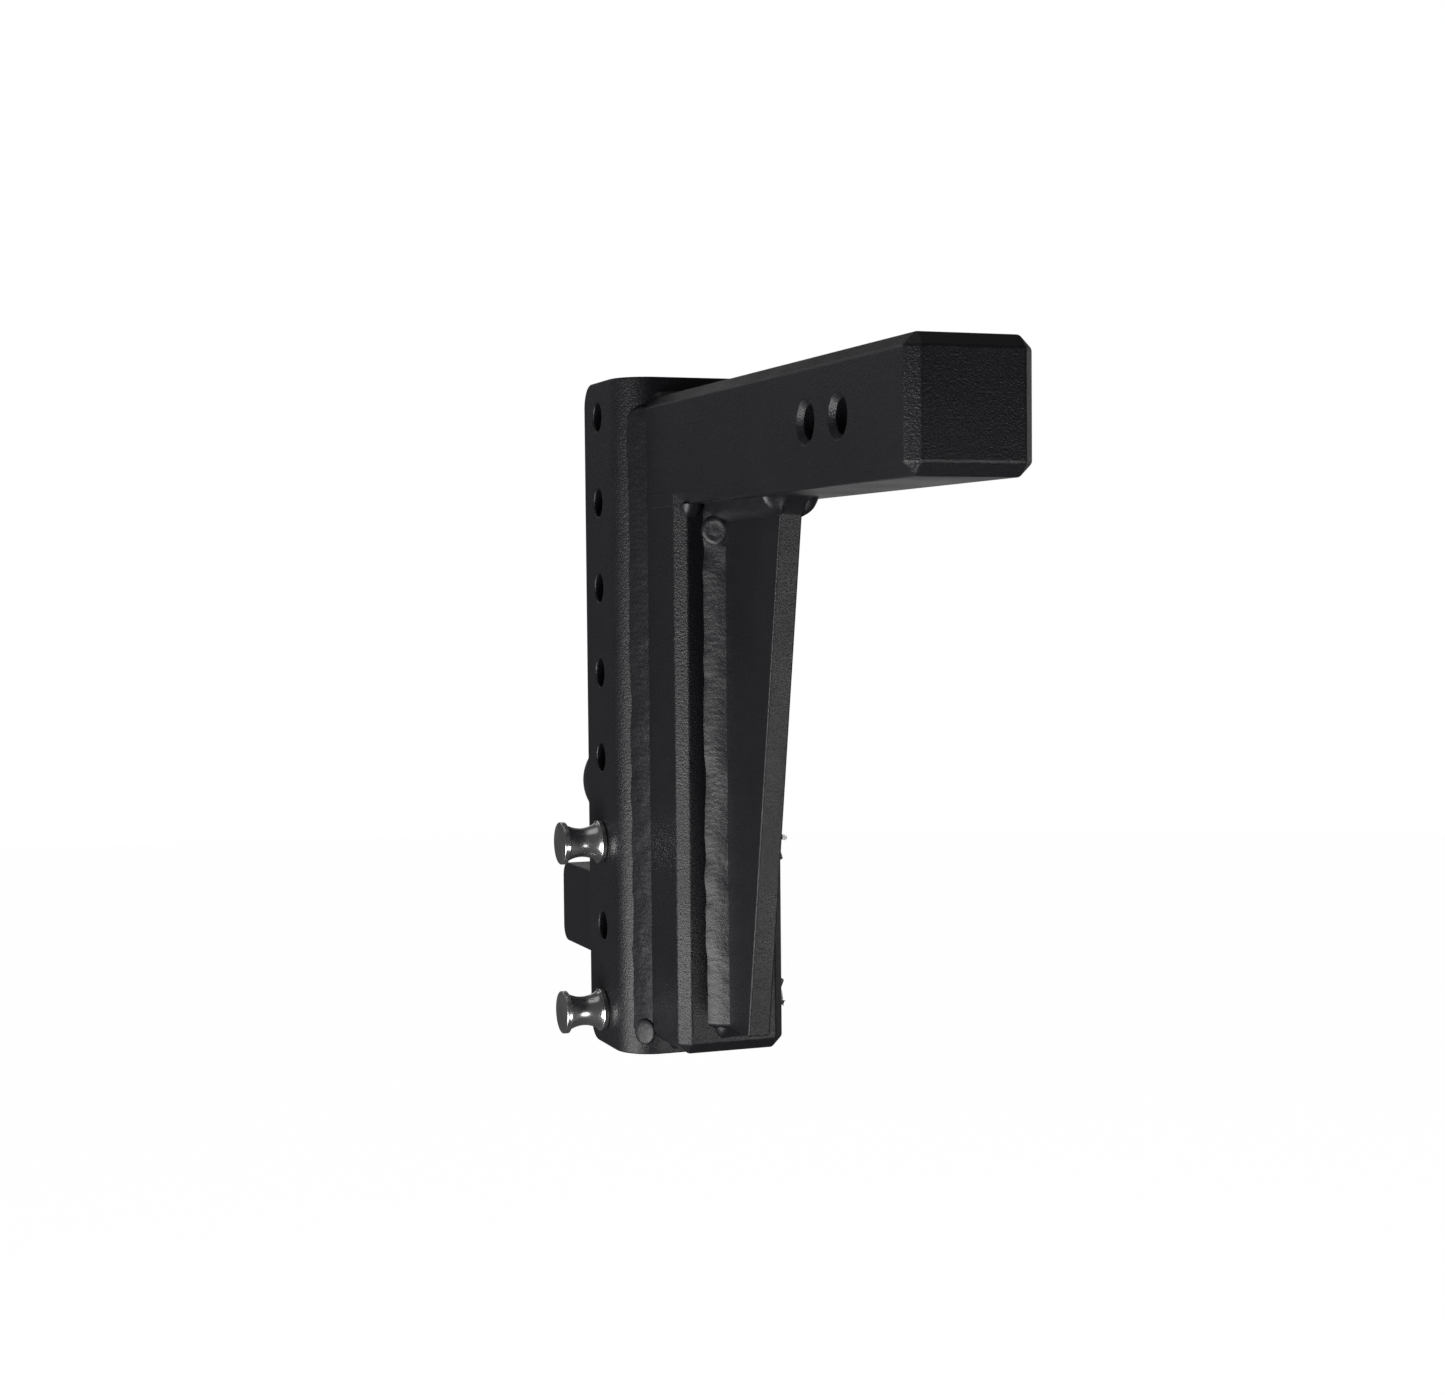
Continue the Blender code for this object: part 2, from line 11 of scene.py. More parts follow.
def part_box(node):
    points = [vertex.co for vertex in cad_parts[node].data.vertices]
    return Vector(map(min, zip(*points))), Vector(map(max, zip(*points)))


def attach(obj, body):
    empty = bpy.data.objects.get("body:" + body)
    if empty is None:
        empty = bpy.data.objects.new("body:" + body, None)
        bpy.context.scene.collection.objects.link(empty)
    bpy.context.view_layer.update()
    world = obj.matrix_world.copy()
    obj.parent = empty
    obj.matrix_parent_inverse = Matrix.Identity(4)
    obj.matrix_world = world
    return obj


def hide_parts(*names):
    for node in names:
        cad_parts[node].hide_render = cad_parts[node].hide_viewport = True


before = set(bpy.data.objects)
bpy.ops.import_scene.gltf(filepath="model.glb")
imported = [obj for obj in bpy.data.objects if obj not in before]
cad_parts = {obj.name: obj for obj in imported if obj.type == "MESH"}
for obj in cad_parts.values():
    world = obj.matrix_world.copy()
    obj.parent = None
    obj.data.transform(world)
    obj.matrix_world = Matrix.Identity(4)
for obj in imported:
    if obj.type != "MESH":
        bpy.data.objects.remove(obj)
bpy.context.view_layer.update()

MM = 0.001
TINY = 1e-6

# Driving dimensions, read from the frame.
SHANK_LOW, SHANK_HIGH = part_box("shank")
CHANNEL_LOW, CHANNEL_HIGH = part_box("channel")
RISER_LOW, RISER_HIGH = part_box("riser_bar")
GUSSET_LOW, GUSSET_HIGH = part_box("gusset_plate")
BLOCK_LOW, BLOCK_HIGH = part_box("ball_mount_block")
PLATFORM_LOW, PLATFORM_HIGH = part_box("ball_platform")
UPPER_PIN_LOW, UPPER_PIN_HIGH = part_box("upper_pin")
LOWER_PIN_LOW, LOWER_PIN_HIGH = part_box("lower_pin")
HALF_SHANK = SHANK_HIGH.x
HALF_CHANNEL = CHANNEL_HIGH.x
WEB = CHANNEL_LOW.y
REAR = CHANNEL_HIGH.y
HOLE_Y = (UPPER_PIN_LOW.y + UPPER_PIN_HIGH.y) / 2
UPPER_PIN_Z = (UPPER_PIN_LOW.z + UPPER_PIN_HIGH.z) / 2
LOWER_PIN_Z = (LOWER_PIN_LOW.z + LOWER_PIN_HIGH.z) / 2
HOLE_PITCH = (UPPER_PIN_Z - LOWER_PIN_Z) / 2
HOLE_HEIGHTS = [LOWER_PIN_Z + HOLE_PITCH * i for i in range(8)]
BALL_Y = sum(corner.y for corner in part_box("upper_ball")) / 2

# Shape details that the frame's boxes don't give.
BAR_CHAMFER = 6.35 * MM
SOFT_EDGE = 0.9 * MM
CHANNEL_WALL = 12.7 * MM
CHANNEL_BEND = 22.0 * MM
CHANNEL_CORNER = 14.0 * MM
HOLE_RADIUS = 8.35 * MM
HOLE_SINK = 0.7 * MM
CROSS_HOLES = (78.5 * MM, 117.5 * MM)
CROSS_HOLE_RADIUS = 8.6 * MM
CROSS_HOLE_SINK = 2.8 * MM
PLATFORM_CORNER = 9.5 * MM
STUD_HOLE_RADIUS = 13.1 * MM
GUSSET_FOOT = 38.2 * MM
PIN_SHAFT_RADIUS = 7.94 * MM
CLIP_WIRE_RADIUS = 1.6 * MM

# Places that the beads share.
BAR_FLAT = HALF_SHANK - BAR_CHAMFER
UNDER_SHANK = -HALF_SHANK
HALF_GUSSET = GUSSET_HIGH.x
GUSSET_FRONT_TOP = GUSSET_LOW.y

# Weld beads: the ripples' pitch, the points across a bead's face, the lumps in a metre.
RIPPLE_PITCH = 3.4 * MM
BEAD_FACE_STEPS = 12
COARSE_LUMPS = 110
FINE_LUMPS = 420

# Camera, at the place it was solved to.
CAMERA_PLACE = Vector((-463.37, -915.59, -83.05)) * MM
CAMERA_YAW = math.radians(20.582)
CAMERA_PITCH = math.radians(-2.523)
CAMERA_ROLL = math.radians(-0.539)
CAMERA_LENS = 57.67

# Stage.
STAGE_RADIUS = 14
FLOOR_PLACE = (0, 0.2, -1.6)
LIT_MIDDLE = (0, 0.28, -0.18)


# ---------------------------------------------------------------- materials

def new_material(name):
    material = bpy.data.materials.new(name)
    material.use_nodes = True
    nodes = material.node_tree.nodes
    links = material.node_tree.links
    return material, nodes, links, nodes["Principled BSDF"]


def noise_node(nodes, links, place, scale, detail=2.0, roughness=0.5):
    node = nodes.new("ShaderNodeTexNoise")
    node.inputs["Scale"].default_value = scale
    node.inputs["Detail"].default_value = detail
    node.inputs["Roughness"].default_value = roughness
    links.new(place, node.inputs["Vector"])
    return node.outputs["Fac"]


def ramp_node(nodes, links, value, stops):
    """stops is a list of (position, grey or colour)."""
    node = nodes.new("ShaderNodeValToRGB")
    elements = node.color_ramp.elements
    while len(elements) < len(stops):
        elements.new(0.5)
    for element, (position, colour) in zip(elements, stops):
        element.position = position
        if isinstance(colour, (int, float)):
            colour = (colour, colour, colour)
        element.color = (*colour, 1.0)
    links.new(value, node.inputs["Fac"])
    return node.outputs["Color"]


def bump_node(nodes, links, height, strength, distance, below=None):
    node = nodes.new("ShaderNodeBump")
    node.inputs["Strength"].default_value = strength
    node.inputs["Distance"].default_value = distance
    links.new(height, node.inputs["Height"])
    if below is not None:
        links.new(below, node.inputs["Normal"])
    return node.outputs["Normal"]


def powder_coat(name, grain_strength, peel_strength, lift):
    """Near-black textured powder coat: fine grain over a soft orange peel; lift lightens it."""
    material, nodes, links, shader = new_material(name)
    place = nodes.new("ShaderNodeTexCoord").outputs["Object"]
    grain = noise_node(nodes, links, place, 950.0, 2.0, 0.60)
    peel = noise_node(nodes, links, place, 330.0, 2.0)
    cloud = noise_node(nodes, links, place, 22.0, 3.0)
    dark = (0.0060 * lift, 0.0056 * lift, 0.0078 * lift)
    light = (0.0130 * lift, 0.0124 * lift, 0.0158 * lift)
    colour = ramp_node(nodes, links, grain, [(0.38, dark), (0.66, light)])
    links.new(colour, shader.inputs["Base Color"])
    rough = ramp_node(nodes, links, cloud, [(0.30, 0.36), (0.70, 0.46)])
    links.new(rough, shader.inputs["Roughness"])
    normal = bump_node(nodes, links, peel, peel_strength, 0.40 * MM)
    normal = bump_node(nodes, links, grain, grain_strength, 0.40 * MM, normal)
    links.new(normal, shader.inputs["Normal"])
    return material


def turned_steel(name, colour, roughness):
    """Turned and polished stainless steel, with fine rings along the turning axis X."""
    material, nodes, links, shader = new_material(name)
    shader.inputs["Metallic"].default_value = 1.0
    place = nodes.new("ShaderNodeTexCoord").outputs["Object"]
    rings = nodes.new("ShaderNodeTexWave")
    rings.wave_type = "BANDS"
    rings.bands_direction = "X"
    rings.inputs["Scale"].default_value = 260.0
    rings.inputs["Distortion"].default_value = 1.5
    rings.inputs["Detail"].default_value = 2.0
    links.new(place, rings.inputs["Vector"])
    smear = noise_node(nodes, links, place, 60.0, 2.0)
    tint = ramp_node(nodes, links, smear, [(0.3, [c * 0.86 for c in colour]), (0.7, colour)])
    links.new(tint, shader.inputs["Base Color"])
    rough = ramp_node(nodes, links, smear, [(0.3, roughness * 0.8), (0.7, roughness * 1.35)])
    links.new(rough, shader.inputs["Roughness"])
    normal = bump_node(nodes, links, rings.outputs["Fac"], 0.04, 0.02 * MM)
    links.new(normal, shader.inputs["Normal"])
    return material


def drawn_wire(name, colour, roughness):
    """Bright plated spring wire with faint mottling."""
    material, nodes, links, shader = new_material(name)
    shader.inputs["Metallic"].default_value = 1.0
    place = nodes.new("ShaderNodeTexCoord").outputs["Object"]
    mottle = noise_node(nodes, links, place, 700.0, 3.0)
    tint = ramp_node(nodes, links, mottle, [(0.3, [c * 0.8 for c in colour]), (0.7, colour)])
    links.new(tint, shader.inputs["Base Color"])
    rough = ramp_node(nodes, links, mottle, [(0.3, roughness), (0.7, roughness * 1.5)])
    links.new(rough, shader.inputs["Roughness"])
    links.new(bump_node(nodes, links, mottle, 0.15, 0.05 * MM), shader.inputs["Normal"])
    return material


def coated_ball(name):
    """Smooth satin black coating on a forged ball."""
    material, nodes, links, shader = new_material(name)
    place = nodes.new("ShaderNodeTexCoord").outputs["Object"]
    grain = noise_node(nodes, links, place, 900.0, 3.0)
    cloud = noise_node(nodes, links, place, 40.0, 3.0)
    colour = ramp_node(nodes, links, cloud, [(0.3, (0.012, 0.012, 0.013)), (0.7, (0.02, 0.02, 0.022))])
    links.new(colour, shader.inputs["Base Color"])
    rough = ramp_node(nodes, links, cloud, [(0.3, 0.30), (0.7, 0.40)])
    links.new(rough, shader.inputs["Roughness"])
    links.new(bump_node(nodes, links, grain, 0.12, 0.10 * MM), shader.inputs["Normal"])
    return material


# ---------------------------------------------------------------- mesh tools

def new_object(name, bm, material):
    bmesh.ops.recalc_face_normals(bm, faces=bm.faces)
    mesh = bpy.data.meshes.new(name)
    bm.to_mesh(mesh)
    bm.free()
    mesh.materials.append(material)
    mesh.shade_smooth()
    item = bpy.data.objects.new(name, mesh)
    bpy.context.scene.collection.objects.link(item)
    return item


def finish_mesh(item):
    """Apply the object's modifiers to its mesh."""
    bpy.context.view_layer.update()
    graph = bpy.context.evaluated_depsgraph_get()
    mesh = bpy.data.meshes.new_from_object(item.evaluated_get(graph))
    item.modifiers.clear()
    item.data = mesh
    return item


def sharpen(item, degrees):
    """Shade sharp the edges that turn by more than the angle."""
    item.data.set_sharp_from_angle(angle=math.radians(degrees))


def stands_for(item, node, body="hitch"):
    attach(item, body)
    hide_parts(node)


def joins_hitch(item):
    """A detail that has no node of its own and rides on the hitch."""
    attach(item, "hitch")


def oriented(axis, along, across):
    """The point at a place along an axis; across holds its two other coordinates."""
    first, second = across
    return {
        "X": (along, first, second),
        "Y": (first, along, second),
        "Z": (first, second, along),
    }[axis]


def loft(bm, loops):
    """Skin over a row of loops, with both ends capped."""
    rings = [[bm.verts.new(point) for point in loop] for loop in loops]
    for near, far in zip(rings, rings[1:]):
        count = len(near)
        for i in range(count):
            j = (i + 1) % count
            bm.faces.new((near[i], near[j], far[j], far[i]))
    bm.faces.new(list(reversed(rings[0])))
    bm.faces.new(rings[-1])


def prism(outline, axis, low, high):
    bm = bmesh.new()
    loft(bm, [[oriented(axis, place, point) for point in outline] for place in (low, high)])
    return bm


def block(low, high):
    corners = [(low[0], low[1]), (high[0], low[1]), (high[0], high[1]), (low[0], high[1])]
    return prism(corners, "Z", low[2], high[2])


def turned(profile, axis, centre, sides):
    """Revolve (along, radius) points about an axis; a radius of zero closes an end."""
    bm = bmesh.new()
    rings = []
    for along, radius in profile:
        count = sides if radius > 0 else 1
        angles = [2 * math.pi * i / sides for i in range(count)]
        points = [(centre[0] + radius * math.cos(a), centre[1] + radius * math.sin(a))
                  for a in angles]
        rings.append([bm.verts.new(oriented(axis, along, point)) for point in points])
    for near, far in zip(rings, rings[1:]):
        for i in range(sides):
            j = (i + 1) % sides
            corners = [near[i % len(near)], near[j % len(near)],
                       far[j % len(far)], far[i % len(far)]]
            bm.faces.new(list(dict.fromkeys(corners)))
    return bm


def arc(centre, radius, start, end, steps):
    """Points of an arc; angles are in degrees."""
    angles = [math.radians(start + (end - start) * i / steps) for i in range(steps + 1)]
    return [(centre[0] + radius * math.cos(a), centre[1] + radius * math.sin(a)) for a in angles]


def chamfer_edges(bm, chosen, width, segments=1):
    edges = [edge for edge in bm.edges if chosen(*[vert.co for vert in edge.verts])]
    bmesh.ops.bevel(bm, geom=edges, offset=width, segments=segments, profile=0.5,
                    affect="EDGES", clamp_overlap=True)


def along_axis(a, b, index):
    """Whether the edge from a to b runs along the axis with this index."""
    return all(abs(a[k] - b[k]) < TINY for k in range(3) if k != index)


def soften(item, width, segments=3, angle=25):
    modifier = item.modifiers.new("soft_edges", "BEVEL")
    modifier.width = width
    modifier.segments = segments
    modifier.limit_method = "ANGLE"
    modifier.angle_limit = math.radians(angle)
    modifier.harden_normals = True


def weigh_normals(item):
    modifier = item.modifiers.new("flat_faces", "WEIGHTED_NORMAL")
    modifier.weight = 100
    modifier.keep_sharp = True


def cut(item, cutters, even_normals=True):
    """Cut turned shapes out of an object, one after another."""
    helpers = []
    for cutter in cutters:
        helper = new_object("cutter", cutter, item.data.materials[0])
        modifier = item.modifiers.new("cut", "BOOLEAN")
        modifier.operation = "DIFFERENCE"
        modifier.solver = "EXACT"
        modifier.object = helper
        helpers.append(helper)
    if even_normals:
        weigh_normals(item)
    finish_mesh(item)
    for helper in helpers:
        bpy.data.objects.remove(helper)


def cross_hole(radius, flare, half_width, y, z, sides=48):
    """Cutter along X whose mouth flares by flare, with a rounded lip."""
    past, lip, ease = 1.0 * MM, 0.5 * MM, 0.15 * MM
    side = [(half_width - flare - lip, radius), (half_width - flare, radius + ease),
            (half_width - lip, radius + flare - lip * 0.4),
            (half_width, radius + flare + lip * 0.6),
            (half_width + past, radius + flare + 3 * lip)]
    left = [(-x, r) for x, r in reversed(side)]
    profile = [(-half_width - past, 0)] + left + side + [(half_width + past, 0)]
    return turned(profile, "X", (y, z), sides)


# ---------------------------------------------------------------- structural steel

def make_shank(coat):
    bm = block(SHANK_LOW, SHANK_HIGH)
    end = SHANK_LOW.y

    def chosen(a, b):
        return along_axis(a, b, 1) or max(a.y, b.y) < end + TINY

    chamfer_edges(bm, chosen, BAR_CHAMFER)
    shank = new_object("shank_bar", bm, coat)
    soften(shank, SOFT_EDGE)
    cut(shank, [cross_hole(CROSS_HOLE_RADIUS, CROSS_HOLE_SINK, HALF_SHANK, end + y, 0, 64)
                for y in CROSS_HOLES])
    stands_for(shank, "shank")


def channel_outline():
    inner = HALF_CHANNEL - CHANNEL_WALL
    inner_bend = CHANNEL_BEND - CHANNEL_WALL
    bend_y = WEB + CHANNEL_BEND
    left, right = -HALF_CHANNEL + CHANNEL_BEND, HALF_CHANNEL - CHANNEL_BEND
    points = arc((left, bend_y), CHANNEL_BEND, 180, 270, 22)
    points += arc((right, bend_y), CHANNEL_BEND, 270, 360, 22)
    points += [(HALF_CHANNEL, REAR), (inner, REAR)]
    points += arc((right, bend_y), inner_bend, 360, 270, 14)
    points += arc((left, bend_y), inner_bend, 270, 180, 14)
    points += [(-inner, REAR), (-HALF_CHANNEL, REAR)]
    return points


def make_channel(coat):
    bm = prism(channel_outline(), "Z", CHANNEL_LOW.z, CHANNEL_HIGH.z)

    def wall_corner(a, b):
        return along_axis(a, b, 0) and abs(a.y - REAR) < TINY

    chamfer_edges(bm, wall_corner, CHANNEL_CORNER, segments=14)
    channel = new_object("hole_channel", bm, coat)
    soften(channel, SOFT_EDGE, angle=40)
    cut(channel, [cross_hole(HOLE_RADIUS, HOLE_SINK, HALF_CHANNEL, HOLE_Y, z)
                  for z in HOLE_HEIGHTS])
    stands_for(channel, "channel")


def make_riser(coat):
    bm = block(RISER_LOW, RISER_HIGH)

    def chosen(a, b):
        front_upright = along_axis(a, b, 2) and abs(a.y - RISER_LOW.y) < TINY
        return front_upright or max(a.z, b.z) < RISER_LOW.z + TINY

    chamfer_edges(bm, chosen, BAR_CHAMFER)
    riser = new_object("riser_bar_steel", bm, coat)
    soften(riser, SOFT_EDGE)
    weigh_normals(riser)
    stands_for(finish_mesh(riser), "riser_bar")


def gusset_front(z):
    """The gusset's front edge at a height: it leans back towards its lower end."""
    reach_top = GUSSET_HIGH.y - GUSSET_LOW.y
    share = (z - GUSSET_LOW.z) / (GUSSET_HIGH.z - GUSSET_LOW.z)
    return GUSSET_HIGH.y - GUSSET_FOOT - (reach_top - GUSSET_FOOT) * share


def make_gusset(coat):
    low, high = GUSSET_LOW.z, GUSSET_HIGH.z
    outline = [(GUSSET_HIGH.y, high), (GUSSET_HIGH.y, low), (gusset_front(low), low),
               (gusset_front(high), high)]
    gusset = new_object("gusset_steel", prism(outline, "X", GUSSET_LOW.x, GUSSET_HIGH.x), coat)
    soften(gusset, SOFT_EDGE)
    weigh_normals(gusset)
    stands_for(finish_mesh(gusset), "gusset_plate")


def make_mount_block(coat):
    bm = block(BLOCK_LOW, BLOCK_HIGH)

    def upright_front(a, b):
        return along_axis(a, b, 2) and abs(a.y - BLOCK_LOW.y) < TINY

    chamfer_edges(bm, upright_front, CHANNEL_BEND - CHANNEL_WALL, segments=8)
    mount = new_object("mount_block_steel", bm, coat)
    soften(mount, SOFT_EDGE, angle=40)
    cut(mount, [cross_hole(HOLE_RADIUS, HOLE_SINK, BLOCK_HIGH.x, HOLE_Y, z)
                for z in (LOWER_PIN_Z, UPPER_PIN_Z)])
    stands_for(mount, "ball_mount_block")


def make_platform(coat):
    front, end = PLATFORM_LOW.y, PLATFORM_HIGH.y
    low, high = PLATFORM_LOW.z, PLATFORM_HIGH.z
    corner = PLATFORM_CORNER
    outline = [(front, low)] + arc((end - corner, low + corner), corner, 270, 360, 14)
    outline += arc((end - corner, high - corner), corner, 0, 90, 14) + [(front, high)]
    platform = new_object("platform_steel", prism(outline, "X", PLATFORM_LOW.x, PLATFORM_HIGH.x),
                          coat)
    soften(platform, 0.8 * MM, angle=40)
    past = 2 * MM
    hole = [(low - past, 0), (low - past, STUD_HOLE_RADIUS), (high + past, STUD_HOLE_RADIUS),
            (high + past, 0)]
    cut(platform, [turned(hole, "Z", (0, BALL_Y), 48)])
    stands_for(platform, "ball_platform")


# ---------------------------------------------------------------- weld beads

def wave(place, rate, seed, row):
    """Smooth unevenness along a bead, -1..1, with rate swells in a metre."""
    return noise.noise(Vector((place * rate, seed, row)))


def lump(place, across, seed):
    """Uneven height of weld metal, about -1..1, at a place along and across a bead."""
    coarse = wave(place, COARSE_LUMPS, across * 2.1, seed)
    fine = wave(place, FINE_LUMPS, across * 6.3, seed + 4)
    return coarse + 0.45 * fine


def end_swell(nearest_end, end_length, least):
    """Share of its full size that a bead has near an end, where it rounds off."""
    if nearest_end >= end_length:
        return 1.0
    return max(least, math.sqrt(1 - (1 - nearest_end / end_length) ** 2))


def ripple_crest(run, pitch):
    """Height of the ripples, 0..1: each one steps up and then falls off along its pitch."""
    phase = run / pitch
    return (1 - (phase - math.floor(phase))) ** 1.5


def bead_object(name, coat, loops):
    bm = bmesh.new()
    loft(bm, loops)
    item = new_object(name, bm, coat)
    sharpen(item, 75)
    return item


def bead(name, coat, corner, sides, start, end, axis, legs, pitch=RIPPLE_PITCH, bulge=0.16,
         seed=0.0, wander=0.07, end_length=5.0 * MM):
    """Fillet bead along an axis, with crescent ripples, a wandering width and rounded ends.

    corner is the inside corner between the two faces; sides are the signs in which the two
    legs leave it.
    """
    ripple, ripple_lag, lumps = 0.06 * MM, 1.6 * MM, 0.11 * MM
    lean = 0.72
    station_step, least_stations, most_stations = 0.55 * MM, 12, 620
    length = end - start
    stations = min(max(least_stations, int(abs(length) / station_step)), most_stations)
    leg_a, leg_b = legs
    loops = []
    for i in range(stations + 1):
        share = i / stations
        place = start + length * share
        run = share * abs(length)
        swell = end_swell(min(run, abs(length) - run), end_length, 0.25)
        wobble = wave(place, 60, seed * 7.3, 0.2) * wander * 2
        wobble += wave(place, 260, seed * 3.1, 4.2) * wander * 0.2
        strength = 0.5 + wave(place, 90, seed * 2.3, 9.1)
        size_a = leg_a * swell * (1 + wobble)
        size_b = leg_b * swell * (1 - wobble * 0.8)
        loop = [(0.0, 0.0)]
        for k in range(BEAD_FACE_STEPS + 1):
            t = k / BEAD_FACE_STEPS
            crown = math.sin(math.pi * t)
            crest = ripple_crest(run - ripple_lag * crown, pitch)
            rise = bulge * crown * (size_a + size_b) / 2
            rise += ripple * crest * (0.25 + crown) * swell * strength
            rise += lump(place, t, seed) * lumps * (0.2 + crown) * swell
            loop.append((size_a * (1 - t) + rise * lean, size_b * t + rise * lean))
        points = [(corner[0] + sides[0] * a, corner[1] + sides[1] * b) for a, b in loop]
        loops.append([oriented(axis, place, point) for point in points])
    return bead_object(name, coat, loops)


def bend_face(x):
    """Y of the channel's outer bend at a distance x from the middle plane."""
    across = x - (HALF_CHANNEL - CHANNEL_BEND)
    return WEB + CHANNEL_BEND - math.sqrt(CHANNEL_BEND ** 2 - across ** 2)


def channel_bead(name, coat, side, seed):
    """Long bead in the groove between the channel's bend and the shank and riser."""
    reach, foot = 6.4 * MM, 9.0 * MM
    slow_wander, fast_wander = 0.9 * MM, 0.35 * MM
    bulge, ripple, ripple_lag, lumps = 0.3 * MM, 0.10 * MM, 1.8 * MM, 0.22 * MM
    sunk, toe_root = 0.2 * MM, 2 * MM
    end_length, stations = 7 * MM, 640
    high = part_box("channel_weld_left")[1].z
    length = high - (RISER_LOW.z + 0.5 * MM)
    root_y = bend_face(HALF_SHANK)
    loops = []
    for i in range(stations + 1):
        run = i / stations * length
        z = high - run
        swell = end_swell(min(run, length - run), end_length, 0.3)
        wobble = wave(z, 55, seed * 5.1, 0.7) * slow_wander
        wobble += wave(z, 240, seed * 2.7, 3.3) * fast_wander
        toe_x = HALF_SHANK + (reach + wobble) * swell
        toe_y = bend_face(toe_x)
        foot_y = WEB - (foot - wobble) * swell
        loop = [(HALF_SHANK - sunk, root_y + sunk), (toe_x - toe_root, toe_y + sunk)]
        for k in range(BEAD_FACE_STEPS + 1):
            t = k / BEAD_FACE_STEPS
            crown = math.sin(math.pi * t)
            crest = ripple_crest(run + ripple_lag * crown, RIPPLE_PITCH)
            rise = bulge * crown * swell + ripple * crest * (0.2 + crown) * swell
            rise += lump(z, t, seed) * lumps * (0.2 + crown) * swell
            loop.append((toe_x + (HALF_SHANK - toe_x) * t + rise * 0.6,
                         toe_y + (foot_y - toe_y) * t - rise * 0.8))
        loops.append([(side * x, y, z) for x, y in loop])
    return bead_object(name, coat, loops)


def weld_stop(name, coat, centre, facing, radius, height, crater, seed):
    """Round mound where the welder stopped: a dome with a shallow crater in its middle."""
    sides, steps = 40, 16
    crater_reach, rim_sink, unevenness = 0.60, 0.25, 0.07
    facing = Vector(facing).normalized()
    across = facing.orthogonal().normalized()
    up = facing.cross(across)
    bm = bmesh.new()
    rings = [[bm.verts.new(Vector(centre) + facing * height * (1 - crater))]]
    for k in range(1, steps + 1):
        t = k / steps
        dome = math.sqrt(max(0.0, 1 - t * t))
        pit = crater * math.exp(-(t / crater_reach) ** 4)
        rise = height * (dome - pit - (rim_sink if k == steps else 0.0))
        ring = []
        for i in range(sides):
            a = 2 * math.pi * i / sides
            uneven = noise.noise(Vector((math.cos(a) * 1.5, math.sin(a) * 1.5, seed)))
            r = radius * t * (1 + unevenness * uneven)
            ring.append(bm.verts.new(Vector(centre) + across * r * math.cos(a)
                                     + up * r * math.sin(a) + facing * rise))
        rings.append(ring)
    for i in range(sides):
        bm.faces.new((rings[0][0], rings[1][i], rings[1][(i + 1) % sides]))
    for near, far in zip(rings[1:], rings[2:]):
        for i in range(sides):
            j = (i + 1) % sides
            bm.faces.new((near[i], near[j], far[j], far[i]))
    bm.faces.new(rings[-1])
    return new_object(name, bm, coat)


def make_bar_beads(coat):
    """Beads across the web: over the shank and under the riser bar."""
    item = bead("shank_top_bead", coat, (WEB, HALF_SHANK), (-1, 1), -BAR_FLAT, BAR_FLAT, "X",
                (5.0 * MM, 5.0 * MM), seed=2.1)
    stands_for(item, "shank_top_weld")
    wide = BAR_FLAT - 6 * MM
    item = bead("riser_bottom_bead", coat, (WEB, RISER_LOW.z), (-1, -1), -wide, wide, "X",
                (5.4 * MM, 7.2 * MM), seed=3.4)
    stands_for(item, "riser_bottom_weld")


def make_gusset_beads(coat, side, word):
    """One side's beads along the gusset and between the riser bar and the shank."""
    leg, riser_leg = 10.0 * MM, 8 * MM
    item = bead("gusset_side_bead_" + word, coat, (side * HALF_GUSSET, RISER_LOW.y), (side, -1),
                GUSSET_LOW.z - 2 * MM, UNDER_SHANK + 3 * MM, "Z", (leg, leg * 0.92),
                seed=4.0 + side, wander=0.08, bulge=0.06)
    stands_for(item, "gusset_side_weld_" + word)
    item = bead("gusset_top_bead_" + word, coat, (side * HALF_GUSSET, UNDER_SHANK), (side, -1),
                GUSSET_FRONT_TOP - 3 * MM, RISER_LOW.y + 4 * MM, "Y", (leg, leg),
                seed=6.0 + side, pitch=3.6 * MM)
    stands_for(item, "gusset_top_weld_" + word)
    item = bead("riser_top_bead_" + word, coat, (RISER_LOW.y + 2 * MM, UNDER_SHANK), (-1, -1),
                side * (HALF_GUSSET + leg), side * (BAR_FLAT + 3.5 * MM), "X",
                (riser_leg, riser_leg), seed=8.0 + side, pitch=3.0 * MM)
    stands_for(item, "riser_top_weld_" + word)
    place = (side * (HALF_GUSSET + 3.6 * MM), RISER_LOW.y - 4.4 * MM, UNDER_SHANK - 15 * MM)
    stop = weld_stop("gusset_weld_stop_" + word, coat, place, (side * 0.62, -0.78, -0.05),
                     9.2 * MM, 4.2 * MM, crater=0.35, seed=side)
    joins_hitch(stop)


def make_side_fill(coat, side, word):
    """Ground-flush filler in the seam between the two bars' chamfers."""
    below, above = RISER_HIGH.z - 1 * MM, UNDER_SHANK + 1 * MM
    near = BAR_FLAT - 1 * MM
    flush = HALF_SHANK - 0.1 * MM
    stations = ((RISER_LOW.y + 0.6 * MM, BAR_FLAT + 0.5 * MM), (RISER_LOW.y + 6.8 * MM, flush),
                (WEB, flush))
    loops = []
    for y, reach in stations:
        top = UNDER_SHANK + (reach - near)
        loops.append([(side * reach, y, below), (side * reach, y, top),
                      (side * near, y, above), (side * near, y, below)])
    bm = bmesh.new()
    loft(bm, loops)
    item = new_object("riser_side_fill_" + word, bm, coat)
    soften(item, SOFT_EDGE)
    weigh_normals(item)
    joins_hitch(finish_mesh(item))


